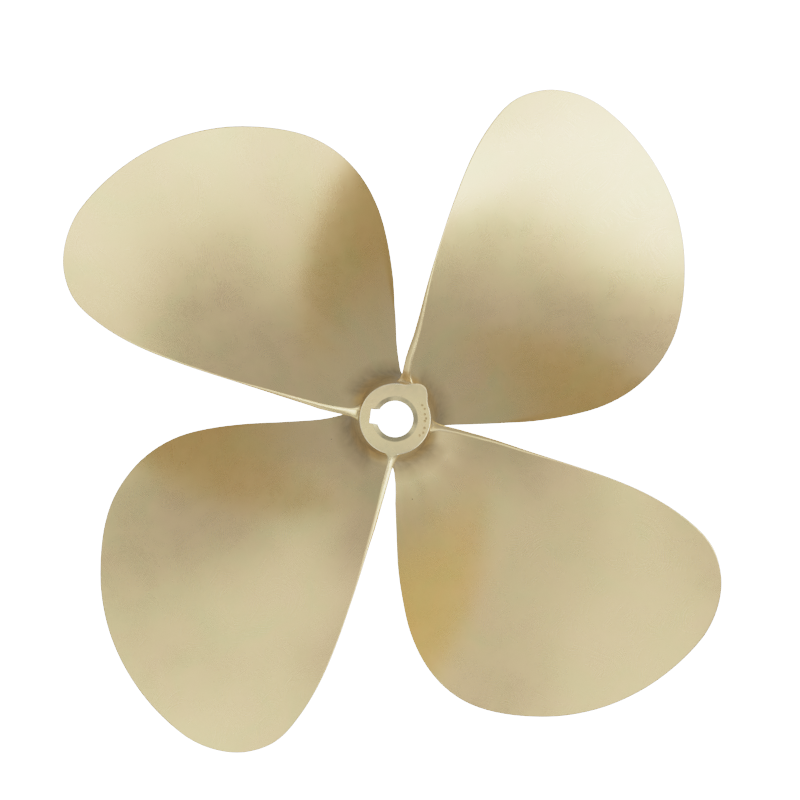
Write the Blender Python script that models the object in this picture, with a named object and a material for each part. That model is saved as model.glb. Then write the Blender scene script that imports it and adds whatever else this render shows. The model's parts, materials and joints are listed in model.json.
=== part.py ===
"""A four-bladed, right-handed, fixed-pitch ship propeller, cast in one piece in bronze.

Metres, +Z up. The propeller lies on the flat forward face of its hub, so +Z is the shaft's
axis and points aft. The origin is on the axis, in the forward face. Seen from +Z, as from
astern, each blade's leading edge is its clockwise side and the lower one, its trailing edge
is its counter-clockwise side and the upper one, and the wheel turns clockwise going ahead.
"""

import math

import bmesh
import bpy
import numpy as np

# Wheel
DIAMETER = 0.610
BLADES = 4
GENERATOR_ANGLE = math.radians(40)   # first blade's generator line, from +X
TIP_RADIUS = DIAMETER / 2

# Hub, a slightly swollen cone
HUB_LENGTH = 0.100
HUB_FORWARD_RADIUS = 0.0365
HUB_AFT_RADIUS = 0.0290
HUB_SWELL = 0.0015
HUB_CORNER = 0.0025

# Tapered bore, 1 in 16 on its diameter, with one keyway
BORE_FORWARD_RADIUS = 0.0176
BORE_TAPER = 1 / 32                  # loss of radius for each metre of length
BORE_CHAMFER = 0.0030
KEYWAY_WIDTH = 0.0105
KEYWAY_DEPTH = 0.0059
KEYWAY_ANGLE = math.radians(172)

# Blade outline seen along the shaft: share of the tip radius, then the arcs in millimetres
# from the generator line forward to the leading edge and back to the trailing edge
BLADE_OUTLINE = (
    (0.18, 40, 39),
    (0.30, 64, 61),
    (0.40, 84, 79),
    (0.50, 101, 96),
    (0.60, 114, 112),
    (0.70, 118, 126),
    (0.80, 106, 136),
    (0.90, 61, 139),
    (0.95, 23, 130),
    (1.00, -84, 84),
)

# Blade pitch, rake and thickness
PITCH = 0.600
PITCH_ROOT_SHARE = 0.57              # share of the pitch that is left at the hub
FULL_PITCH_FROM = 0.65               # share of the tip radius
RAKE = math.radians(5)
ROOT_MID_HEIGHT = 0.053              # height of the generator line at the hub
THICKNESS_AT_AXIS = 0.024
THICKNESS_AT_TIP = 0.0034
EDGE_AT_ROOT = 0.0080                # thickness of the rounded edges
EDGE_AT_TIP = 0.0016
EDGE_THINS_BY = 0.45                 # share of the tip radius where the edges reach their least

# Root fillet and the stub that runs into the hub
ROOT_RADIUS = 0.0335
FILLET_RADIUS = 0.010
FILLET_FOOT = 0.0003
FILLET_AT_EDGES = 0.45               # share of the fillet that is left at the blade's edges
STUB_DEPTH = 0.005
TAPER_FADES_OVER = 0.030

# Fineness of the mesh
HUB_SIDES = 64
CHORD_STEPS = 12
EDGE_STEPS = 4
FILLET_HEIGHTS = (0.0012, 0.0030, 0.0058, 0.0095)
OUTER_STATIONS = (0.175, 0.21, 0.25, 0.30, 0.35, 0.40, 0.45, 0.50, 0.55, 0.60, 0.65, 0.70,
                  0.75, 0.80, 0.85, 0.89, 0.925, 0.95, 0.97, 0.985, 0.995, 0.999)

OVERSHOOT = 0.010                    # how far a cutter runs past the faces


def mix(start, end, share):
    return start + (end - start) * share


def smooth_curve(knots, values, at):
    """The value at one place of a cubic Hermite curve through the knots, which increase."""
    knots = np.asarray(knots, float)
    values = np.asarray(values, float)
    slopes = np.gradient(values, knots)
    k = int(np.clip(np.searchsorted(knots, at) - 1, 0, len(knots) - 2))
    step = knots[k + 1] - knots[k]
    t = (at - knots[k]) / step
    return ((1 + 2 * t) * (1 - t) ** 2 * values[k] + t * (1 - t) ** 2 * step * slopes[k]
            + t * t * (3 - 2 * t) * values[k + 1] + t * t * (t - 1) * step * slopes[k + 1])


def edge_arcs(radius):
    """Arcs in metres from the generator line to the leading and the trailing edge.

    The curve runs over the square root of the distance to the tip, which rounds the tip."""
    rows = BLADE_OUTLINE[::-1]
    roots = [math.sqrt(1 - share) for share, _, _ in rows]
    place = math.sqrt(max(0.0, 1 - radius / TIP_RADIUS))
    forward = smooth_curve(roots, [row[1] for row in rows], place)
    back = smooth_curve(roots, [row[2] for row in rows], place)
    return forward / 1000, back / 1000


def pitch_at(radius):
    hub_share = ROOT_RADIUS / TIP_RADIUS
    share = (radius / TIP_RADIUS - hub_share) / (FULL_PITCH_FROM - hub_share)
    lack = (1 - min(max(share, 0.0), 1.0)) ** 2
    return PITCH * (1 - (1 - PITCH_ROOT_SHARE) * lack)


def hub_radius(height):
    share = min(max(height / HUB_LENGTH, 0.0), 1.0)
    return mix(HUB_FORWARD_RADIUS, HUB_AFT_RADIUS, share) + HUB_SWELL * 4 * share * (1 - share)


def fillet_flare(height):
    """How far the fillet stands out from the blade's side at this height over the hub."""
    if height >= FILLET_RADIUS:
        return 0.0
    rest = FILLET_RADIUS - max(height, FILLET_FOOT)
    return FILLET_RADIUS - math.sqrt(FILLET_RADIUS ** 2 - rest ** 2)


def blade_ring(radius, flare):
    """One section as (angle, height) pairs: pressure side, trailing edge, suction side, leading edge."""
    share = radius / TIP_RADIUS
    forward, back = edge_arcs(radius)
    slope = math.atan2(pitch_at(radius), 2 * math.pi * radius)
    along = np.array((math.cos(slope), math.sin(slope)))
    out = np.array((math.sin(slope), -math.cos(slope)))
    middle = ROOT_MID_HEIGHT + (radius - ROOT_RADIUS) * math.tan(RAKE)
    edge = mix(EDGE_AT_ROOT, EDGE_AT_TIP, min(share / EDGE_THINS_BY, 1.0)) / 2
    thick = mix(THICKNESS_AT_AXIS, THICKNESS_AT_TIP, share)
    lead = np.array((edge - forward, middle + math.tan(slope) * (edge - forward)))
    trail = np.array((back - edge, middle + math.tan(slope) * (back - edge)))
    steps = [0.5 - 0.5 * math.cos(math.pi * i / CHORD_STEPS) for i in range(CHORD_STEPS + 1)]
    turns = [math.pi * i / EDGE_STEPS for i in range(1, EDGE_STEPS)]
    faces = [edge + flare * mix(1, FILLET_AT_EDGES, abs(2 * t - 1) ** 3) for t in steps]
    ring = [mix(lead, trail, t) - out * face for t, face in zip(steps, faces)]
    ring += [trail + faces[-1] * (math.sin(a) * along - math.cos(a) * out) for a in turns]
    for t, face in zip(reversed(steps), reversed(faces)):
        bulge = (thick - 2 * edge) * (1 - (2 * t - 1) ** 2)
        ring.append(mix(lead, trail, t) + out * (face + bulge))
    ring += [lead + faces[0] * (math.cos(a) * out - math.sin(a) * along) for a in turns]
    return [(GENERATOR_ANGLE + arc / radius, height) for arc, height in ring]


def blade_stations():
    """(section radius, height over the hub) from the stub inside the hub to the tip."""
    heights = (-STUB_DEPTH, FILLET_FOOT) + FILLET_HEIGHTS
    stations = [(ROOT_RADIUS + height, height) for height in heights]
    stations += [(share * TIP_RADIUS, share * TIP_RADIUS - ROOT_RADIUS) for share in OUTER_STATIONS]
    return stations


def blade_mesh():
    """A closed blade whose lowest rings follow the hub's cone."""
    bm = bmesh.new()
    rings = []
    for radius, height in blade_stations():
        fade = max(0.0, 1 - max(height, 0.0) / TAPER_FADES_OVER)
        ring = []
        for angle, z in blade_ring(max(radius, ROOT_RADIUS), fillet_flare(height)):
            r = radius + fade * (hub_radius(z) - ROOT_RADIUS)
            ring.append(bm.verts.new((r * math.cos(angle), r * math.sin(angle), z)))
        rings.append(ring)
    count = len(rings[0])
    for lower, upper in zip(rings, rings[1:]):
        for i in range(count):
            j = (i + 1) % count
            bm.faces.new((lower[i], lower[j], upper[j], upper[i]))
    bm.faces.new(rings[0][::-1])
    bm.faces.new(rings[-1])
    bmesh.ops.recalc_face_normals(bm, faces=bm.faces)
    return finished(bm, "blade")


def turned(profile, name):
    """A closed solid turned about Z from (radius, height) points, whose ends lie on the axis."""
    bm = bmesh.new()
    verts = [bm.verts.new((r, 0.0, z)) for r, z in profile]
    edges = [bm.edges.new(pair) for pair in zip(verts, verts[1:])]
    bmesh.ops.spin(bm, geom=verts + edges, cent=(0, 0, 0), axis=(0, 0, 1),
                   angle=2 * math.pi, steps=HUB_SIDES, use_merge=True, use_duplicate=False)
    bmesh.ops.remove_doubles(bm, verts=bm.verts, dist=0.00001)
    bmesh.ops.recalc_face_normals(bm, faces=bm.faces)
    return finished(bm, name)


def finished(bm, name):
    mesh = bpy.data.meshes.new(name)
    bm.to_mesh(mesh)
    bm.free()
    return mesh


def corner_arc(centre_r, centre_z, radius, first, last, steps=4):
    angles = [math.radians(mix(first, last, i / steps)) for i in range(steps + 1)]
    return [(centre_r + radius * math.cos(a), centre_z + radius * math.sin(a)) for a in angles]


def hub_mesh():
    """The barrel without its bore: forward face, swollen side, aft face."""
    profile = [(0.0, 0.0)]
    profile += corner_arc(HUB_FORWARD_RADIUS - HUB_CORNER, HUB_CORNER, HUB_CORNER, -90, 0)
    side = [HUB_CORNER + (HUB_LENGTH - 2 * HUB_CORNER) * i / 8 for i in range(1, 8)]
    profile += [(hub_radius(z), z) for z in side]
    profile += corner_arc(HUB_AFT_RADIUS - HUB_CORNER, HUB_LENGTH - HUB_CORNER, HUB_CORNER, 0, 90)
    profile.append((0.0, HUB_LENGTH))
    return turned(profile, "hub")


def bore_radius(height):
    return BORE_FORWARD_RADIUS - BORE_TAPER * height


def bore_mesh():
    """The cutter for the tapered bore, with a chamfer at each mouth."""
    low = bore_radius(0) + BORE_CHAMFER
    high = bore_radius(HUB_LENGTH) + BORE_CHAMFER
    profile = [(0.0, -OVERSHOOT), (low + OVERSHOOT, -OVERSHOOT), (low, 0.0),
               (bore_radius(BORE_CHAMFER), BORE_CHAMFER),
               (bore_radius(HUB_LENGTH - BORE_CHAMFER), HUB_LENGTH - BORE_CHAMFER),
               (high, HUB_LENGTH), (high + OVERSHOOT, HUB_LENGTH + OVERSHOOT),
               (0.0, HUB_LENGTH + OVERSHOOT)]
    return turned(profile, "bore")


def keyway_mesh():
    """The cutter for the keyway, whose floor runs parallel to the bore's wall."""
    bm = bmesh.new()
    half = KEYWAY_WIDTH / 2
    low, high = -OVERSHOOT, HUB_LENGTH + OVERSHOOT
    rings = []
    for z in (low, high):
        floor = bore_radius(z) + KEYWAY_DEPTH
        corners = ((0.0, -half), (floor, -half), (floor, half), (0.0, half))
        rings.append([bm.verts.new((x, y, z)) for x, y in corners])
    for i in range(4):
        j = (i + 1) % 4
        bm.faces.new((rings[0][i], rings[0][j], rings[1][j], rings[1][i]))
    bm.faces.new(rings[0][::-1])
    bm.faces.new(rings[1])
    bmesh.ops.recalc_face_normals(bm, faces=bm.faces)
    return finished(bm, "keyway")


def bronze():
    material = bpy.data.materials.new("bronze")
    material.use_nodes = True
    shader = material.node_tree.nodes["Principled BSDF"]
    shader.inputs["Base Color"].default_value = (0.66, 0.54, 0.33, 1)
    shader.inputs["Metallic"].default_value = 1.0
    shader.inputs["Roughness"].default_value = 0.38
    return material


def add_object(name, mesh, helper=False):
    obj = bpy.data.objects.new(name, mesh)
    bpy.context.scene.collection.objects.link(obj)
    if helper:
        obj.hide_render = True
        obj.display_type = "WIRE"
    return obj


def add_boolean(obj, operation, other):
    modifier = obj.modifiers.new(other.name, "BOOLEAN")
    modifier.operation = operation
    modifier.solver = "EXACT"
    modifier.object = other


def build_propeller():
    propeller = add_object("propeller", hub_mesh())
    propeller.data.materials.append(bronze())
    mesh = blade_mesh()
    for k in range(BLADES):
        blade = add_object(f"blade_{k + 1}", mesh, helper=True)
        blade.rotation_euler.z = 2 * math.pi * k / BLADES
        add_boolean(propeller, "UNION", blade)
    add_boolean(propeller, "DIFFERENCE", add_object("bore_cut", bore_mesh(), helper=True))
    keyway = add_object("keyway_cut", keyway_mesh(), helper=True)
    keyway.rotation_euler.z = KEYWAY_ANGLE
    add_boolean(propeller, "DIFFERENCE", keyway)
    propeller.data.shade_smooth()
    propeller.data.set_sharp_from_angle(angle=math.radians(35))


def clear_scene():
    for obj in list(bpy.data.objects):
        bpy.data.objects.remove(obj)


clear_scene()
build_propeller()
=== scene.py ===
"""Looks of a one-piece bronze ship propeller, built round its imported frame.

Metres, +Z up. The wheel lies on its hub's forward face and the camera looks down its shaft
axis, as the photograph does. The fine wheel is drawn from the same design values as the solid:
a turned hub, four lofted blades that flare into it, then the facing, the bore and the keyway.
"""

import json
import math

import bmesh
import bpy
import numpy as np
from mathutils import Matrix, Vector, noise


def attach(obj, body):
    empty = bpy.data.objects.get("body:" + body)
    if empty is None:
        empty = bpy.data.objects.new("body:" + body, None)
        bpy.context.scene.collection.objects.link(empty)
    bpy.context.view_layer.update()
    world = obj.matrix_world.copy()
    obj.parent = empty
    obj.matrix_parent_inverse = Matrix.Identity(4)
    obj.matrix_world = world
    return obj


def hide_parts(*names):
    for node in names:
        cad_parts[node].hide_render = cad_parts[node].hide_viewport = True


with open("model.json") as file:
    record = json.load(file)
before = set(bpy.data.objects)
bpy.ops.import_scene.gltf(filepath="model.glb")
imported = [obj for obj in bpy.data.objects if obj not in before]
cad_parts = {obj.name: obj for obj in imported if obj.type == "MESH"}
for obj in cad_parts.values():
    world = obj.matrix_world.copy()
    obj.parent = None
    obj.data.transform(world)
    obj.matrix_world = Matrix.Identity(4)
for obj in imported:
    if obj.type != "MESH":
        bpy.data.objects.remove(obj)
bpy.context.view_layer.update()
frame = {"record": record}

# Wheel and hub
BLADES = 4
TIP_RADIUS = 0.305
GENERATOR_ANGLE = math.radians(40)   # first blade's generator line, from +X
MOUNTS = {mount["name"]: mount for mount in frame["record"]["mounts"]}
HUB_LENGTH = MOUNTS["hub_aft_face"]["pos_m"][2]
HUB_FORWARD_RADIUS = 0.0365
HUB_AFT_RADIUS = 0.0290
HUB_SWELL = 0.0015
HUB_CORNER = 0.0025
AFT_CORNER = 0.0009       # the faced end is only just broken
HUB_LIP = 0.0068          # metal left beside the first blade, which widens the aft face
HUB_LIP_AT = math.radians(49)
HUB_LIP_HALF = math.radians(27)
HUB_LIP_DEPTH = 0.030

# Tapered bore and keyway
BORE_FORWARD_RADIUS = 0.0176
BORE_TAPER = 1 / 32
BORE_CHAMFER = 0.0038
BORE_CHAMFER_DEPTH = 0.0022
KEYWAY_WIDTH = 0.0118
KEYWAY_DEPTH = 0.0056
KEYWAY_ANGLE = math.radians(172)

# Punch dots on the aft face: angle in degrees, distance off the axis in millimetres
PUNCH_DOTS = ((27, 24.6), (19, 25.2), (9, 24.3), (1, 25.0), (-4, 24.1), (-17, 24.8),
              (-26, 25.3), (-34, 23.8))
PUNCH_RADIUS = 0.0011
PUNCH_DEPTH = 0.0006

# Blade outline, fitted to the photograph and rounded to a millimetre: share of the tip radius,
# arcs in millimetres to the leading and trailing edges
BLADE_OUTLINE = (
    (0.18, 40, 39),
    (0.30, 64, 61),
    (0.40, 84, 79),
    (0.50, 101, 96),
    (0.60, 114, 112),
    (0.70, 118, 126),
    (0.80, 106, 136),
    (0.90, 61, 139),
    (0.95, 23, 130),
    (1.00, -84, 84),
)

# What hand dressing left on or took off each blade, in millimetres, fitted to the photograph and
# rounded to a half: along its leading edge and its trailing edge, at shares of the radius, and
# at its tip
DRESSED_AT = (0.10, 0.16, 0.25, 0.35, 0.65, 0.80, 1.0)
DRESSING = (
    ((1, 1, 1.5, 1.5, -0.5, -2, -2.5), (-6, -2, -2.5, -1.5, 0.5, 2.5, 2.5), -0.2),
    ((1.5, 2, 2, 1.5, 1, 1.5, 0.5), (-2, 0.5, 0, -1, -0.5, 0.5, 0), 0.4),
    ((0, -0.5, -1, -1.5, 0.5, -1, -0.5), (2, 1.5, 1.5, 0.5, 0.5, 1, 0.5), -0.9),
    ((-4.5, -4.5, -3.5, -3.5, -1, 3.5, 7), (-4, 0, 1, -0.5, -0.5, -2, -7), -0.4),
)

# The bore was drilled a little off the middle of the casting's blades
BLADES_OFF_AXIS = (-0.0001, -0.0016)

# Pitch, rake and thickness
PITCH = 0.600
PITCH_ROOT_SHARE = 0.57
FULL_PITCH_FROM = 0.65
RAKE = math.radians(5)
ROOT_MID_HEIGHT = 0.053
THICKNESS_AT_AXIS = 0.024
THICKNESS_AT_TIP = 0.0034
LEADING_EDGE_AT_ROOT = 0.0074
TRAILING_EDGE_AT_ROOT = (0.0090, 0.0085, 0.0074, 0.0070)   # of each blade
EDGE_AT_TIP = 0.0016
EDGE_THINS_BY = 0.45      # share of the radius
RIM_RADIUS = TIP_RADIUS - EDGE_AT_TIP / 2   # the rim's centre line at the tip
RIM_TURNS_FROM = 0.5      # share of the radius where the rounding starts to face off the blade
RIM_TURNS_OVER = 0.3      # and over how much more of it the turn is made
CROWN_FULL_CHORD = 0.120  # sections shorter than this are flatter
BLUNT_EDGE = 0.5          # under 1 squares the trailing edge off near the root
BLUNT_DEPTH = 0.55        # how far the blunt edge stands out, as a share of its half thickness
BLUNT_UNTIL = 0.45        # share of the radius where it has become round
BLUNT_SLANT = (30, 30, 20, 18)   # degrees by which each blade's blunt edge is ground to face aft

# Root
ROOT_RADIUS = 0.0335
FILLET_RADIUS = 0.010
FILLET_START = math.radians(4)
STUB_DEPTH = 0.005        # how far a blade's end goes into the hub
TAPER_FADES_OVER = 0.030  # the blade's foot follows the hub's taper, and this far out no more
ROOT_LOWEST = 0.0006      # the leading edge's foot ends this far over the forward face
ROOT_EASE_FROM = 0.0045
FLARE_AT_EDGES = 0.45     # share of the fillet left at a blade's edges
FLARE_AT_TRAILING_FACE = (1.0, 0.50, 0.50, 0.50)   # but this at each blade's trailing edge, aft
FACING_RADIUS = 0.030
FACING_SWEEP = 0.008
FACING_HEIGHT = 0.03      # how far over the aft face the lathe clears
OVERSHOOT = 0.010         # how far a cutting shape stands out of what it cuts

# Fineness
HUB_SIDES = 192
HUB_STEPS = 24            # along the hub's side
CORNER_STEPS = 8          # round a turned corner
PUNCH_FINENESS = 3
CHORD_STEPS = 40
EDGE_STEPS = 16
FILLET_STEPS = 10
SPAN_STEPS = 64
SPAN_CROWDING = 1.15      # over 1 sets the stations closer toward the tip
TIP_MERGE = 0.000002      # points of a blade closer than this are one
WELD = 0.00001            # and of a turned shape
SHARP_FROM = math.radians(24)
FLAT_END = 0.9999         # the turned ends' normals have at least this much of Z

# The hand's unevenness: height of the swells, how many to the metre, and from which distance
# off the axis to which
SWELLS = (
    (0.00035, 11.0, 0.040, 1.0),
    (0.00012, 34.0, 0.036, 1.0),
    (0.00045, 62.0, 0.034, 0.110),
)
SWELL_FADE = 0.010
SWELL_END = 3             # one over the share of the far distance in which a swell dies out

# Curvature, one over metres, from which an edge is rubbed bright with a painted highlight (painted
# shade where it turns away) and a hollow holds tarnish with painted shade, and the rise
# from there to the full effect
ROUNDED_FROM = 120
ROUNDED_OVER = 580
HOLLOW_FROM = 15
HOLLOW_OVER = 50
SHORTEST_SQUARED = 1e-12  # edges shorter than a micrometre count as that long

# Painted shade and grime on the hub's side and the feet of the blades
NECK_UNSHADED_FROM = 0.050
NECK_TOP = 0.085
NECK_FADE = 0.010
NECK_SHADE_AND_GRIME = 1.0
NECK_SIDE = 0.45          # and what faces aft less than this gets the painted shade and grime up to the top
NECK_SIDE_FADE = 0.2
RIM_SHADED_FROM = 0.160     # farther out the rounded edges get painted shade instead of the rubbed shine and painted highlight
RIM_SHADED_FADE = 0.050
RIM_FACES_AFT = 0.35      # nearer in, what faces aft more than this is rubbed bright with a painted highlight, and what faces aft less gets painted shade

END_DEPTH = 0.00001       # the aft face down to this depth carries no marks

# Greenish stain in the bore's mouth, and to both sides of it along Y on the aft face
STAIN_REACH = 0.0186
STAIN_SHARE = 0.55
RUN_SHARE = 0.50
RUN_REACH = 0.034
RUN_SLOPE = 1.6           # how fast the stain grows with the share of that reach along Y
RUN_START = 0.5           # and what is taken off it
RUN_DEPTH = 0.0003
STAIN_CLEANEST = 0.4      # share of the stain left between its patches

# Bronze
ALLOY = (0.96, 0.775, 0.445)
ALLOY_WARM = (0.99, 0.765, 0.46)
ALLOY_GREEN = (0.90, 0.785, 0.44)
# bare metal of rubbed edges, with the painted highlight of edges that face aft
RUBBED_HIGHLIGHT = (0.98, 0.92, 0.76)
# tarnish with painted shade, for the hollows, the hub's side and the edges turned away
TARNISH_AND_SHADE = (0.44, 0.34, 0.18)
PATINA = (0.36, 0.40, 0.29)
PIT = (0.20, 0.16, 0.09)
ROUGHNESS = 0.285
ROUGHER_CLOUDS = 0.10     # how far each pattern or mark, where it is full, moves the roughness
ROUGHER_SCUFFS = 0.08
ROUGHER_TARNISH_AND_SHADE = 0.12
ROUGHER_RUBBED_HIGHLIGHT = -0.05
TARNISH_AND_SHADE_SHARE = 0.9       # how much of each colour goes on where its mark is full
RUBBED_HIGHLIGHT_SHARE = 0.8
PIT_SHARE = 0.7
LESS_METALLIC = 0.3               # how much less metallic the full tarnish with painted shade is
STROKE_BUMP = 0.15
STROKE_DEPTH = 0.00006
SCUFF_RELIEF = 0.6        # how high a scuff and a pit stand, in strokes
PIT_RELIEF = -3.0

# Sizes of the bronze's patterns, as features to the metre
TINT_SCALE = 20
CLOUD_SCALE = 38
GRAIN_SCALE = 20          # how often the grinding strokes change direction
STROKE_SCALE = 1300
SCUFF_SCALE = 420
PIT_SCALE = 60
TARNISH_SHADE_SCALE = 110
STAIN_SCALE = 240
STROKE_STRETCH = (1.0, 0.035, 0.4)
STROKE_TURN = 5.0         # radians at most
PIT_SIZE = 0.035          # in features of the pits' own pattern
PIT_FREE = 0.90           # share of its cells without a pit

# The camera's tone curve: TONE_GAIN * y / (1 - TONE_KNEE * y ** 4) of light shows as y
TONE_GAIN = 1 / 3
TONE_KNEE = 0.9
TONE_STEPS = (0.1, 0.2, 0.3, 0.4, 0.5, 0.6, 0.7, 0.75, 0.8, 0.85, 0.9)
WHITE = 1.5               # light that shows as pure white, with room to spare

# Camera, fitted to the wheel's outline in the photograph, and where the hub's aft face shows
FRAME_PIXELS = 800
FOCAL_PIXELS = 2028
HUB_PIXEL = (395.1, 419.0)
CAMERA_DISTANCE = 1.638
CAMERA_LEAN_X = math.radians(1.36)
CAMERA_LEAN_Y = math.radians(-0.54)
SENSOR = 36.0
CLIP_END = 50

# Studio, fitted to the shading in the photograph and rounded: square soft boxes round the wheel,
# of four powers in watts, each row with its angle off the shaft axis, its power and its angles
# round the axis from +X; a grey room, and a glowing sheet under one quarter
KEY = 1.57
BRIGHT = 0.58
FILL = 0.36
DIM = 0.18
SOFTBOXES = (
    (5, DIM, (0,)),
    (18, FILL, (145, 235)),
    (34, KEY, (330,)),
    (34, BRIGHT, (30, 60)),
    (34, FILL, (90, 180, 240)),
    (34, DIM, (150,)),
    (56, KEY, (0,)),
    (56, FILL, (30, 150, 270)),
    (56, DIM, (210, 240, 330)),
    (78, DIM, (135, 225)),
)
SOFTBOX_SIZE = 0.85
SOFTBOX_DISTANCE = 2.0
SOFTBOX_AIM = 0.08
ROOM_GREY = 0.133
SHEET_SIZE = 0.45
SHEET_GLOW = 0.233
FLOOR_HALF = 12.0
FLOOR_GAP = 0.0005


def mix(start, end, share):
    return start + (end - start) * share


def smooth_curve(knots, values, at):
    """Cubic Hermite curve through the knots, read at an array of places."""
    knots = np.asarray(knots, float)
    values = np.asarray(values, float)
    slopes = np.gradient(values, knots)
    k = np.clip(np.searchsorted(knots, at) - 1, 0, len(knots) - 2)
    step = knots[k + 1] - knots[k]
    t = (at - knots[k]) / step
    return ((1 + 2 * t) * (1 - t) ** 2 * values[k] + t * (1 - t) ** 2 * step * slopes[k]
            + t * t * (3 - 2 * t) * values[k + 1] + t * t * (t - 1) * step * slopes[k + 1])


def edge_arcs(radius, blade):
    """Arcs in metres to the leading and the trailing edge of one blade, as dressed."""
    rows = BLADE_OUTLINE[::-1]
    roots = [math.sqrt(1 - share) for share, _, _ in rows]
    place = np.sqrt(np.maximum(0.0, 1 - radius / TIP_RADIUS))
    lead, trail, _ = DRESSING[blade]
    share = np.clip(radius / TIP_RADIUS, DRESSED_AT[0], 1.0)
    forward = smooth_curve(roots, [row[1] for row in rows], place)
    back = smooth_curve(roots, [row[2] for row in rows], place)
    forward += smooth_curve(DRESSED_AT, lead, share)
    back += smooth_curve(DRESSED_AT, trail, share)
    return forward / 1000, back / 1000


def pitch_at(radius):
    hub_share = ROOT_RADIUS / TIP_RADIUS
    share = (radius / TIP_RADIUS - hub_share) / (FULL_PITCH_FROM - hub_share)
    return PITCH * (1 - (1 - PITCH_ROOT_SHARE) * (1 - np.clip(share, 0, 1)) ** 2)


def hub_radius(height):
    share = np.clip(height / HUB_LENGTH, 0, 1)
    return mix(HUB_FORWARD_RADIUS, HUB_AFT_RADIUS, share) + HUB_SWELL * 4 * share * (1 - share)


def blade_stations():
    """Section radii, heights over the hub and fillet flares, from the stub to the tip."""
    turns = np.linspace(FILLET_START, math.radians(90), FILLET_STEPS)
    heights = FILLET_RADIUS * (1 - np.cos(turns))
    flares = FILLET_RADIUS * (1 - np.sin(turns))
    start = math.sqrt(1 - (ROOT_RADIUS + FILLET_RADIUS) / RIM_RADIUS)
    places = start * np.linspace(1, 0, SPAN_STEPS + 1)[1:] ** SPAN_CROWDING
    outer = RIM_RADIUS * (1 - places ** 2)
    radius = np.concatenate([[ROOT_RADIUS - STUB_DEPTH], ROOT_RADIUS + heights, outer])
    flare = np.concatenate([[flares[0]], flares, np.zeros(len(outer))])
    return radius, radius - ROOT_RADIUS, flare


def over_forward_face(z):
    """Eases what would reach below the hub's forward face back up to just over it."""
    depth = ROOT_EASE_FROM - ROOT_LOWEST
    eased = ROOT_LOWEST + depth * np.exp(np.minimum(z - ROOT_EASE_FROM, 0) / depth)
    return np.where(z < ROOT_EASE_FROM, eased, z)


def rim_normal(place, radius, side):
    """Which way the rim faces in the blade's own surface: along the section, and outward."""
    along = np.gradient(place)
    outward = np.gradient(radius)
    length = np.hypot(along, outward)
    turned_by = np.clip((radius / TIP_RADIUS - RIM_TURNS_FROM) / RIM_TURNS_OVER, 0, 1)
    across = -turned_by * along / length
    across[-1] = 1.0
    return side * np.sqrt(1 - across ** 2), across


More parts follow.
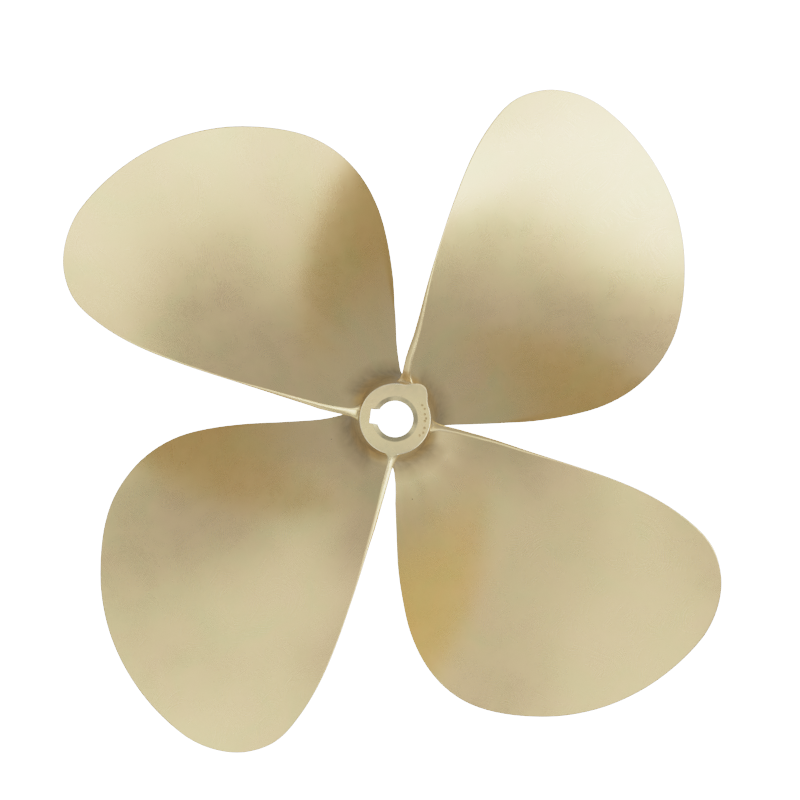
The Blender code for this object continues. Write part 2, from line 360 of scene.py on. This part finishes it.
def blade_grid(blade):
    """Points of one blade, indexed by station and by place round the section.

    A section has two faces and two rounded edges. The faces lie to both sides of the chord line
    and the edges are round the rim's centre line, which ends in one point at the tip."""
    radius, height, flare = blade_stations()
    section = np.maximum(radius, ROOT_RADIUS)
    tip_gain = DRESSING[blade][2] / 1000 * (section / TIP_RADIUS) ** 3
    share = section / TIP_RADIUS
    tangent = pitch_at(section) / (2 * math.pi * section)
    slope = np.arctan(tangent)

    # the chord line, from the leading edge's centre to the trailing edge's, and the thickness
    forward, back = edge_arcs(section * TIP_RADIUS / RIM_RADIUS, blade)
    thinned = np.minimum(share / EDGE_THINS_BY, 1.0)
    lead_edge = mix(LEADING_EDGE_AT_ROOT, EDGE_AT_TIP, thinned) / 2
    trail_edge = mix(TRAILING_EDGE_AT_ROOT[blade], EDGE_AT_TIP, thinned) / 2
    lead_along, lead_out = rim_normal(forward / np.cos(slope), section, -1)
    trail_along, trail_out = rim_normal(back / np.cos(slope), section, 1)
    lead = -forward - lead_edge * lead_along * np.cos(slope)
    trail = back - trail_edge * trail_along * np.cos(slope)
    lead[-1] = trail[-1] = (lead[-1] + trail[-1]) / 2
    crown = 1 - (1 - np.minimum((trail - lead) / CROWN_FULL_CHORD, 1)) ** 2
    bulge = (mix(THICKNESS_AT_AXIS, THICKNESS_AT_TIP, share) - lead_edge - trail_edge) * crown
    middle = ROOT_MID_HEIGHT + (section - ROOT_RADIUS) * math.tan(RAKE)

    def column(values):
        return values[:, None]

    # how far the face and the back lie off the chord line, flared into the hub at the root
    t = (0.5 - 0.5 * np.cos(np.linspace(0, math.pi, CHORD_STEPS + 1)))[None, :]
    at_edge = np.where(t < 0.5, FLARE_AT_EDGES, FLARE_AT_TRAILING_FACE[blade])
    toward_edge = np.abs(2 * t - 1) ** 3
    face_share = 1 - toward_edge * (1 - at_edge)
    back_share = 1 - toward_edge * (1 - FLARE_AT_EDGES)
    edge = mix(column(lead_edge), column(trail_edge), t)
    face = edge + column(flare) * face_share
    back_face = edge + column(flare) * back_share + column(bulge) * (1 - (2 * t - 1) ** 2)

    # the edges that join them: the trailing one is blunt near the root and slants to face aft
    turn = np.linspace(0, math.pi, EDGE_STEPS + 1)[1:-1][None, :]
    rounded = column(np.clip(share / BLUNT_UNTIL, 0, 1))

    def edge_section(near, far, power):
        """Across and along a rounded edge that joins one face's reach to the other's."""
        half, middle_off = (near + far) / 2, (far - near) / 2
        cosine = np.cos(turn)
        across = middle_off - half * np.sign(cosine) * np.abs(cosine) ** power
        return across, half * np.sin(turn) ** power

    lead_off, lead_push = edge_section(face[:, :1], back_face[:, :1], 1)
    trail_off, trail_push = edge_section(face[:, -1:], back_face[:, -1:],
                                         mix(BLUNT_EDGE, 1, rounded))
    slant = math.tan(math.radians(BLUNT_SLANT[blade])) * (1 - rounded)
    trail_push = trail_push * mix(BLUNT_DEPTH, 1, rounded) + slant * (trail_off + face[:, -1:])
    reach = slant * (face[:, -1:] + back_face[:, -1:]) * column(np.cos(slope))
    trail_end = column(trail) - reach
    chord = mix(column(lead), trail_end, t)
    back_chord = mix(column(lead), column(trail), t)

    # round each section: the face, the trailing edge, the back and the leading edge
    none = 0 * chord
    place = np.hstack([chord, trail_end + 0 * turn, back_chord[:, ::-1], column(lead) + 0 * turn])
    off = np.hstack([-face, trail_off, back_face[:, ::-1], lead_off[:, ::-1]])
    push = np.hstack([none, trail_push * column(trail_along), none,
                      lead_push[:, ::-1] * column(lead_along)])
    rise = np.hstack([none, trail_push * column(trail_out), none,
                      lead_push[:, ::-1] * column(lead_out)])

    # wrapped round the shaft axis, with the foot following the hub's taper
    cosine, sine = column(np.cos(slope)), column(np.sin(slope))
    arc = place + push * cosine + off * sine
    z = column(middle) + column(tangent) * place + push * sine - off * cosine
    z = over_forward_face(z + rise * math.sin(RAKE))
    angle = GENERATOR_ANGLE + 2 * math.pi * blade / BLADES + arc / column(section)
    fade = column(np.clip(1 - np.maximum(height, 0) / TAPER_FADES_OVER, 0, 1))
    r = column(radius + tip_gain) + fade * (hub_radius(z) - ROOT_RADIUS) + rise * math.cos(RAKE)
    x = r * np.cos(angle) + BLADES_OFF_AXIS[0] * (1 - fade)
    y = r * np.sin(angle) + BLADES_OFF_AXIS[1] * (1 - fade)
    return np.stack([x, y, z], axis=-1)


def blade_mesh(blade):
    points = blade_grid(blade)
    rows, columns = points.shape[:2]
    index = np.arange(rows * columns).reshape(rows, columns)
    right = np.roll(index, -1, axis=1)
    faces = np.stack([index[:-1], right[:-1], right[1:], index[1:]], axis=-1).reshape(-1, 4)
    mesh = bpy.data.meshes.new(f"blade_{blade + 1}")
    mesh.from_pydata(points.reshape(-1, 3).tolist(), [], faces.tolist() + [index[0][::-1].tolist()])
    bm = bmesh.new()
    bm.from_mesh(mesh)
    bmesh.ops.remove_doubles(bm, verts=bm.verts, dist=TIP_MERGE)
    bmesh.ops.recalc_face_normals(bm, faces=bm.faces)
    bm.to_mesh(mesh)
    bm.free()
    return mesh


def turned(profile, name):
    """A closed solid turned about Z from (radius, height) points, whose ends lie on the axis."""
    bm = bmesh.new()
    verts = [bm.verts.new((r, 0.0, z)) for r, z in profile]
    edges = [bm.edges.new(pair) for pair in zip(verts, verts[1:])]
    bmesh.ops.spin(bm, geom=verts + edges, cent=(0, 0, 0), axis=(0, 0, 1),
                   angle=2 * math.pi, steps=HUB_SIDES, use_merge=True, use_duplicate=False)
    bmesh.ops.remove_doubles(bm, verts=bm.verts, dist=WELD)
    bmesh.ops.recalc_face_normals(bm, faces=bm.faces)
    mesh = bpy.data.meshes.new(name)
    bm.to_mesh(mesh)
    bm.free()
    return mesh


def vertex_rows(mesh, what):
    """The places ("co") or normals ("normal") of a mesh's vertices, a row for each."""
    rows = np.empty(len(mesh.vertices) * 3)
    mesh.vertices.foreach_get(what, rows)
    return rows.reshape(-1, 3)


def arc_points(centre_r, centre_z, radius, first, last):
    steps = CORNER_STEPS
    angles = [math.radians(mix(first, last, i / steps)) for i in range(steps + 1)]
    return [(centre_r + radius * math.cos(a), centre_z + radius * math.sin(a)) for a in angles]


def hub_mesh():
    profile = [(0.0, 0.0)]
    profile += arc_points(HUB_FORWARD_RADIUS - HUB_CORNER, HUB_CORNER, HUB_CORNER, -90, 0)
    straight = HUB_LENGTH - HUB_CORNER - AFT_CORNER
    side = [HUB_CORNER + straight * i / HUB_STEPS for i in range(1, HUB_STEPS)]
    profile += [(float(hub_radius(z)), z) for z in side]
    profile += arc_points(HUB_AFT_RADIUS - AFT_CORNER, HUB_LENGTH - AFT_CORNER, AFT_CORNER, 0, 90)
    profile.append((0.0, HUB_LENGTH))
    mesh = turned(profile, "hub")
    places = vertex_rows(mesh, "co")
    reach = np.hypot(places[:, 0], places[:, 1])
    off = np.arctan2(places[:, 1], places[:, 0]) - HUB_LIP_AT
    lip = np.cos(np.clip(off / HUB_LIP_HALF, -1, 1) * math.pi / 2) ** 2
    lip *= np.clip(1 - (HUB_LENGTH - places[:, 2]) / HUB_LIP_DEPTH, 0, 1) ** 2
    wide = 1 + HUB_LIP * lip * (reach > HUB_AFT_RADIUS / 2) / np.maximum(reach, HUB_AFT_RADIUS / 2)
    places[:, :2] *= wide[:, None]
    mesh.vertices.foreach_set("co", places.ravel())
    return mesh


def bore_radius(height):
    return BORE_FORWARD_RADIUS - BORE_TAPER * height


def bore_mesh():
    low = bore_radius(0) + BORE_CHAMFER
    high = bore_radius(HUB_LENGTH) + BORE_CHAMFER
    spread = OVERSHOOT * BORE_CHAMFER / BORE_CHAMFER_DEPTH
    profile = [(0.0, -OVERSHOOT), (low + spread, -OVERSHOOT), (low, 0.0),
               (bore_radius(BORE_CHAMFER_DEPTH), BORE_CHAMFER_DEPTH),
               (bore_radius(HUB_LENGTH - BORE_CHAMFER_DEPTH), HUB_LENGTH - BORE_CHAMFER_DEPTH),
               (high, HUB_LENGTH), (high + spread, HUB_LENGTH + OVERSHOOT),
               (0.0, HUB_LENGTH + OVERSHOOT)]
    return turned(profile, "bore")


def keyway_mesh():
    half = KEYWAY_WIDTH / 2
    bm = bmesh.new()
    rings = []
    for z in (-OVERSHOOT, HUB_LENGTH + OVERSHOOT):
        floor = bore_radius(z) + KEYWAY_DEPTH
        corners = ((0.0, -half), (floor, -half), (floor, half), (0.0, half))
        rings.append([bm.verts.new((x, y, z)) for x, y in corners])
    for i in range(4):
        j = (i + 1) % 4
        bm.faces.new((rings[0][i], rings[0][j], rings[1][j], rings[1][i]))
    bm.faces.new(rings[0][::-1])
    bm.faces.new(rings[1])
    bmesh.ops.recalc_face_normals(bm, faces=bm.faces)
    mesh = bpy.data.meshes.new("keyway")
    bm.to_mesh(mesh)
    bm.free()
    mesh.transform(Matrix.Rotation(KEYWAY_ANGLE, 4, "Z"))
    return mesh


def facing_mesh():
    """What the lathe clears over the aft face, with the tool's sweep at its edge."""
    profile = [(0.0, HUB_LENGTH)]
    profile += arc_points(FACING_RADIUS, HUB_LENGTH + FACING_SWEEP, FACING_SWEEP, -90, 0)
    top = HUB_LENGTH + FACING_HEIGHT
    profile += [(FACING_RADIUS + FACING_SWEEP, top), (0.0, top)]
    return turned(profile, "facing")


def punch_mesh(angle, reach):
    """The round end of a centre punch, driven a little into the aft face."""
    bm = bmesh.new()
    bmesh.ops.create_icosphere(bm, subdivisions=PUNCH_FINENESS, radius=PUNCH_RADIUS)
    at = math.radians(angle)
    place = Vector((math.cos(at) * reach, math.sin(at) * reach,
                    HUB_LENGTH + PUNCH_RADIUS - PUNCH_DEPTH))
    bmesh.ops.translate(bm, vec=place, verts=bm.verts)
    mesh = bpy.data.meshes.new("punch_dot")
    bm.to_mesh(mesh)
    bm.free()
    return mesh


def add_object(name, data):
    obj = bpy.data.objects.new(name, data)
    bpy.context.scene.collection.objects.link(obj)
    return obj


def hand_swell(mesh):
    """The grinder's unevenness on the joined casting: long swells, and short ones at the root."""
    places = vertex_rows(mesh, "co")
    normals = vertex_rows(mesh, "normal")
    reach = np.hypot(places[:, 0], places[:, 1])
    total = np.zeros(len(places))
    for height, density, near, far in SWELLS:
        fade = np.clip((reach - near) / SWELL_FADE, 0, 1)
        fade *= np.clip((far - reach) / far * SWELL_END, 0, 1)
        total += height * fade * np.array([noise.noise(Vector(p) * density) for p in places])
    places = places + normals * total[:, None]
    mesh.vertices.foreach_set("co", places.ravel())
    mesh.update()


def mark_curvature(mesh):
    """Marks on each vertex how far it is rubbed bright with a painted highlight and how far it
    holds grime with painted shade.
    """
    places = vertex_rows(mesh, "co")
    normals = vertex_rows(mesh, "normal")

    # the mean bend of the edges that meet at each vertex
    ends = np.empty(len(mesh.edges) * 2, int)
    mesh.edges.foreach_get("vertices", ends)
    first, second = ends.reshape(-1, 2).T
    across = places[second] - places[first]
    bend = ((normals[second] - normals[first]) * across).sum(axis=1)
    bend /= np.maximum((across ** 2).sum(axis=1), SHORTEST_SQUARED)
    total = np.bincount(first, bend, len(places)) + np.bincount(second, bend, len(places))
    number = np.bincount(first, None, len(places)) + np.bincount(second, None, len(places))
    bend = total / np.maximum(number, 1)

    # grime with painted shade on the neck and in hollows; rounded edges near the hub that face aft
    # are rubbed bright with a painted highlight, and the others and those farther out get painted
    # shade
    reach = np.hypot(places[:, 0], places[:, 1])
    neck = np.clip((NECK_UNSHADED_FROM - reach) / NECK_FADE, 0, 1)
    side = np.clip((NECK_SIDE - normals[:, 2]) / NECK_SIDE_FADE, 0, 1)
    neck *= np.maximum(side, np.clip((NECK_TOP - places[:, 2]) / NECK_FADE, 0, 1))
    round_over = np.clip((bend - ROUNDED_FROM) / ROUNDED_OVER, 0, 1)
    rim = np.clip((reach - RIM_SHADED_FROM) / RIM_SHADED_FADE, 0, 1)
    hollow = np.clip((-bend - HOLLOW_FROM) / HOLLOW_OVER, 0, 1)
    shaded_edge = np.maximum(rim, 1 - np.clip(normals[:, 2] / RIM_FACES_AFT, 0, 1))
    marks = {"rubbed_and_highlit": round_over * (1 - shaded_edge),
             "grime_and_shade": np.maximum.reduce([hollow, NECK_SHADE_AND_GRIME * neck, round_over * shaded_edge])}
    off_the_end = HUB_LENGTH - places[:, 2] > END_DEPTH
    for name, values in marks.items():
        mark = mesh.attributes.new(name, "FLOAT", "POINT")
        mark.data.foreach_set("value", (values * off_the_end).astype(np.float32))


def build_wheel():
    wheel = add_object("bronze_wheel", hub_mesh())
    helpers = [("UNION", blade_mesh(blade)) for blade in range(BLADES)]
    helpers += [("DIFFERENCE", mesh) for mesh in (facing_mesh(), bore_mesh(), keyway_mesh())]
    helpers += [("DIFFERENCE", punch_mesh(angle, reach / 1000)) for angle, reach in PUNCH_DOTS]
    tools = []
    for operation, mesh in helpers:
        tool = add_object("tool_" + mesh.name, mesh)
        tools.append(tool)
        modifier = wheel.modifiers.new(mesh.name, "BOOLEAN")
        modifier.operation = operation
        modifier.solver = "MANIFOLD"
        modifier.object = tool
    graph = bpy.context.evaluated_depsgraph_get()
    made = bpy.data.meshes.new_from_object(wheel.evaluated_get(graph))
    wheel.modifiers.clear()
    wheel.data = made
    for tool in tools:
        bpy.data.objects.remove(tool)
    hand_swell(made)
    mark_curvature(made)
    made.shade_smooth()
    made.set_sharp_from_angle(angle=SHARP_FROM)
    for polygon in made.polygons:
        if abs(polygon.normal.z) > FLAT_END:
            polygon.use_smooth = False   # the turned ends are flat up to their corners
    return wheel


class Shader:
    """A material's node tree, with short ways to add and join nodes."""

    def __init__(self, name):
        self.material = bpy.data.materials.new(name)
        self.material.use_nodes = True
        self.tree = self.material.node_tree
        self.principled = self.tree.nodes["Principled BSDF"]

    def node(self, kind, **settings):
        node = self.tree.nodes.new("ShaderNode" + kind)
        for key, value in settings.items():
            setattr(node, key, value)
        return node

    def put(self, socket, value):
        if isinstance(value, bpy.types.NodeSocket):
            self.tree.links.new(value, socket)
        else:
            socket.default_value = value

    def math(self, operation, first, second=0.0, third=0.0, clamp=False):
        node = self.node("Math", operation=operation, use_clamp=clamp)
        for socket, value in zip(node.inputs, (first, second, third)):
            self.put(socket, value)
        return node.outputs[0]

    def blend(self, share, first, second, kind="MIX"):
        node = self.node("Mix", data_type="RGBA", blend_type=kind)
        self.put(node.inputs[0], share)
        self.put(node.inputs[6], first)
        self.put(node.inputs[7], second)
        return node.outputs[2]

    def noise(self, vector, scale, detail=2.0, roughness=0.5, distortion=0.0):
        node = self.node("TexNoise")
        self.put(node.inputs["Vector"], vector)
        for name, value in (("Scale", scale), ("Detail", detail), ("Roughness", roughness),
                            ("Distortion", distortion)):
            node.inputs[name].default_value = value
        return node.outputs["Fac"]

    def ramp(self, value, stops):
        node = self.node("ValToRGB")
        self.put(node.inputs[0], value)
        elements = node.color_ramp.elements
        for element, (place, colour) in zip(elements, (stops[0], stops[-1])):
            element.position, element.color = place, (*colour, 1)
        for place, colour in stops[1:-1]:
            elements.new(place).color = (*colour, 1)
        return node.outputs[0]

    def attribute(self, name):
        return self.node("Attribute", attribute_name=name).outputs["Fac"]


def bore_stain(s, places):
    """How far each place is stained: the bore's mouth, and patches beside it on the aft face."""
    apart = s.node("SeparateXYZ")
    s.put(apart.inputs[0], places)
    x, y, z = apart.outputs
    reach = s.math("POWER", s.math("MULTIPLY_ADD", x, x, s.math("MULTIPLY", y, y)), 0.5)
    patches = s.math("MULTIPLY_ADD", s.noise(places, STAIN_SCALE, 3, 0.6), 2.4, -0.6, clamp=True)
    mouth = s.math("MULTIPLY", s.math("LESS_THAN", reach, STAIN_REACH), STAIN_SHARE)
    beside = s.math("MULTIPLY_ADD", s.math("ABSOLUTE", y), RUN_SLOPE / RUN_REACH, -RUN_START,
                    clamp=True)
    on_face = s.math("GREATER_THAN", z, HUB_LENGTH - RUN_DEPTH)
    near = s.math("LESS_THAN", reach, RUN_REACH)
    run = s.math("MULTIPLY", s.math("MULTIPLY", on_face, near),
                 s.math("MULTIPLY", beside, RUN_SHARE))
    patchy = s.math("MULTIPLY_ADD", patches, 1 - STAIN_CLEANEST, STAIN_CLEANEST)
    return s.math("MULTIPLY", s.math("MAXIMUM", mouth, run), patchy, clamp=True)


def grinding_relief(s, places):
    """Strokes and scuffs of the grinding disc, whose direction wanders from cell to cell."""
    cells = s.node("TexVoronoi", feature="SMOOTH_F1")
    cells.inputs["Scale"].default_value = GRAIN_SCALE
    cells.inputs["Smoothness"].default_value = 1.0
    s.put(cells.inputs["Vector"], places)
    turn = s.node("VectorRotate", rotation_type="Z_AXIS")
    s.put(turn.inputs["Vector"], places)
    s.put(turn.inputs["Angle"], s.math("MULTIPLY", cells.outputs["Color"], STROKE_TURN))
    stretch = s.node("Mapping")
    s.put(stretch.inputs["Vector"], turn.outputs[0])
    stretch.inputs["Scale"].default_value = STROKE_STRETCH
    strokes = s.noise(stretch.outputs[0], STROKE_SCALE, 3, 0.65)
    scuffs = s.noise(stretch.outputs[0], SCUFF_SCALE, 2, 0.5)
    return strokes, scuffs


def casting_pits(s, places):
    """Pits that the casting left, in a few of the cells of a pattern."""
    pits = s.node("TexVoronoi", feature="F1")
    pits.inputs["Scale"].default_value = PIT_SCALE
    s.put(pits.inputs["Vector"], places)
    chosen = s.math("GREATER_THAN", pits.outputs["Color"], PIT_FREE)
    near = s.math("LESS_THAN", pits.outputs["Distance"], PIT_SIZE)
    return s.math("MULTIPLY", chosen, near)


def bronze_material():
    """Fine-ground bronze: strokes whose direction wanders, with grime and painted shade, stain, and
    bare edges with a painted highlight.
    """
    s = Shader("ground_bronze")
    places = s.node("TexCoord").outputs["Object"]

    # where the alloy's tint and the polish wander
    tint = s.noise(places, TINT_SCALE, 3, 0.55, 0.6)
    cloud = s.noise(places, CLOUD_SCALE, 4, 0.6)
    alloy = s.ramp(tint, ((0.30, ALLOY_WARM), (0.52, ALLOY), (0.72, ALLOY_GREEN)))
    shade = s.ramp(cloud, ((0.3, (0.95, 0.95, 0.95)), (0.7, (1.0, 1.0, 1.0))))
    colour = s.blend(1.0, alloy, shade, "MULTIPLY")

    strokes, scuffs = grinding_relief(s, places)
    pit = casting_pits(s, places)

    # tarnish with painted shade in the hollows, on the hub's side and on the outer rims; bare metal
    # with a painted highlight where it is rubbed and faces aft
    grime_and_shade = s.attribute("grime_and_shade")
    rubbed_and_highlit = s.attribute("rubbed_and_highlit")
    patchy = s.math("ADD", s.noise(places, TARNISH_SHADE_SCALE, 4, 0.6), 0.3, clamp=True)
    tarnish_and_shade = s.math("MULTIPLY", grime_and_shade, patchy)
    # tarnish with painted shade in hollows, on the hub's side and on edges turned away
    colour = s.blend(s.math("MULTIPLY", tarnish_and_shade, TARNISH_AND_SHADE_SHARE), colour, (*TARNISH_AND_SHADE, 1))
    colour = s.blend(bore_stain(s, places), colour, (*PATINA, 1))
    # rubbed bare metal with a painted highlight on edges near the hub that face aft
    colour = s.blend(s.math("MULTIPLY", rubbed_and_highlit, RUBBED_HIGHLIGHT_SHARE), colour, (*RUBBED_HIGHLIGHT, 1))
    colour = s.blend(s.math("MULTIPLY", pit, PIT_SHARE), colour, (*PIT, 1))
    s.put(s.principled.inputs["Base Color"], colour)
    s.put(s.principled.inputs["Metallic"], s.math("MULTIPLY_ADD", tarnish_and_shade, -LESS_METALLIC, 1.0))

    rough = s.math("MULTIPLY_ADD", cloud, ROUGHER_CLOUDS, ROUGHNESS - ROUGHER_CLOUDS / 2)
    rough = s.math("SUBTRACT", rough, ROUGHER_SCUFFS / 2)
    rough = s.math("MULTIPLY_ADD", scuffs, ROUGHER_SCUFFS, rough)
    rough = s.math("MULTIPLY_ADD", tarnish_and_shade, ROUGHER_TARNISH_AND_SHADE, rough)
    rough = s.math("MULTIPLY_ADD", rubbed_and_highlit, ROUGHER_RUBBED_HIGHLIGHT, rough, clamp=True)
    s.put(s.principled.inputs["Roughness"], rough)

    relief = s.math("MULTIPLY_ADD", scuffs, SCUFF_RELIEF, strokes)
    relief = s.math("MULTIPLY_ADD", pit, PIT_RELIEF, relief)
    bump = s.node("Bump")
    bump.inputs["Strength"].default_value = STROKE_BUMP
    bump.inputs["Distance"].default_value = STROKE_DEPTH
    s.put(bump.inputs["Height"], relief)
    s.put(s.principled.inputs["Normal"], bump.outputs[0])
    return s.material


def white_light(name, strength):
    material = bpy.data.materials.new(name)
    material.use_nodes = True
    tree = material.node_tree
    tree.nodes.clear()
    out = tree.nodes.new("ShaderNodeOutputMaterial")
    glow = tree.nodes.new("ShaderNodeEmission")
    glow.inputs["Color"].default_value = (1, 1, 1, 1)
    glow.inputs["Strength"].default_value = strength
    tree.links.new(glow.outputs["Emission"], out.inputs["Surface"])
    return material


def lay_sheet(name, half, middle, glow):
    """A flat square that glows evenly, just under the wheel's forward face."""
    bm = bmesh.new()
    bmesh.ops.create_grid(bm, x_segments=1, y_segments=1, size=half)
    mesh = bpy.data.meshes.new(name)
    bm.to_mesh(mesh)
    bm.free()
    sheet = add_object(name, mesh)
    sheet.location = (*middle, -FLOOR_GAP)
    sheet.data.materials.append(white_light(name + "_light", glow))
    return sheet


def build_floor():
    """A white floor that only the camera sees, and the sheet that lights the wheel from below."""
    floor = lay_sheet("floor", FLOOR_HALF, (0, 0), WHITE)
    floor.visible_glossy = False
    floor.visible_diffuse = False
    floor.visible_shadow = False
    half = SHEET_SIZE / 2
    sheet = lay_sheet("bounce_sheet", half, (-half, -half), SHEET_GLOW)
    sheet.visible_camera = False


def add_camera():
    cos_x, sin_x = math.cos(CAMERA_LEAN_X), math.sin(CAMERA_LEAN_X)
    cos_y, sin_y = math.cos(CAMERA_LEAN_Y), math.sin(CAMERA_LEAN_Y)
    right = Vector((cos_x, 0, sin_x))
    back = Vector((-cos_y * sin_x, sin_y, cos_y * cos_x))
    up = back.cross(right)
    per_pixel = CAMERA_DISTANCE / FOCAL_PIXELS
    middle = FRAME_PIXELS / 2
    place = Vector((0, 0, HUB_LENGTH)) + back * CAMERA_DISTANCE
    place += right * (middle - HUB_PIXEL[0]) * per_pixel
    place += up * (HUB_PIXEL[1] - middle) * per_pixel
    data = bpy.data.cameras.new("camera")
    data.sensor_width = SENSOR
    data.lens = FOCAL_PIXELS / FRAME_PIXELS * SENSOR
    data.clip_end = CLIP_END
    camera = add_object("camera", data)
    turn = Matrix((right, up, back)).transposed().to_4x4()
    camera.matrix_world = Matrix.Translation(place) @ turn
    bpy.context.scene.camera = camera


def add_softbox(zenith, azimuth, watts):
    name = f"softbox_{zenith}_{azimuth}"
    data = bpy.data.lights.new(name, "AREA")
    data.shape = "SQUARE"
    data.size = SOFTBOX_SIZE
    data.energy = watts
    light = add_object(name, data)
    a, z = math.radians(azimuth), math.radians(zenith)
    aim = Vector((math.sin(z) * math.cos(a), math.sin(z) * math.sin(a), math.cos(z)))
    light.location = Vector((0, 0, SOFTBOX_AIM)) + aim * SOFTBOX_DISTANCE
    light.rotation_mode = "QUATERNION"
    light.rotation_quaternion = aim.to_track_quat("Z", "Y")
    light.visible_camera = False


def light_the_room():
    """Soft boxes in an even grey room, whose walls the camera itself sees as white."""
    world = bpy.data.worlds.new("room")
    bpy.context.scene.world = world
    world.use_nodes = True
    tree = world.node_tree
    background = tree.nodes["Background"]
    background.inputs["Color"].default_value = (1, 1, 1, 1)
    seen = tree.nodes.new("ShaderNodeLightPath")
    level = tree.nodes.new("ShaderNodeMath")
    level.operation = "MULTIPLY_ADD"
    level.inputs[1].default_value = WHITE - ROOM_GREY
    level.inputs[2].default_value = ROOM_GREY
    tree.links.new(seen.outputs["Is Camera Ray"], level.inputs[0])
    tree.links.new(level.outputs[0], background.inputs["Strength"])
    for zenith, watts, azimuths in SOFTBOXES:
        for azimuth in azimuths:
            add_softbox(zenith, azimuth, watts)


def set_view():
    """Rolls the highlights off as the photograph's camera does."""
    view = bpy.context.scene.view_settings
    view.view_transform = "Standard"
    view.use_curve_mapping = True
    curve = view.curve_mapping.curves[3]   # the curve of all three channels
    for y in TONE_STEPS:
        curve.points.new(TONE_GAIN * y / (1 - TONE_KNEE * y ** 4), y)
    view.curve_mapping.update()


set_view()
add_camera()
build_floor()
wheel = build_wheel()
wheel.data.materials.clear()
wheel.data.materials.append(bronze_material())
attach(wheel, "root")
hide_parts("propeller")
light_the_room()
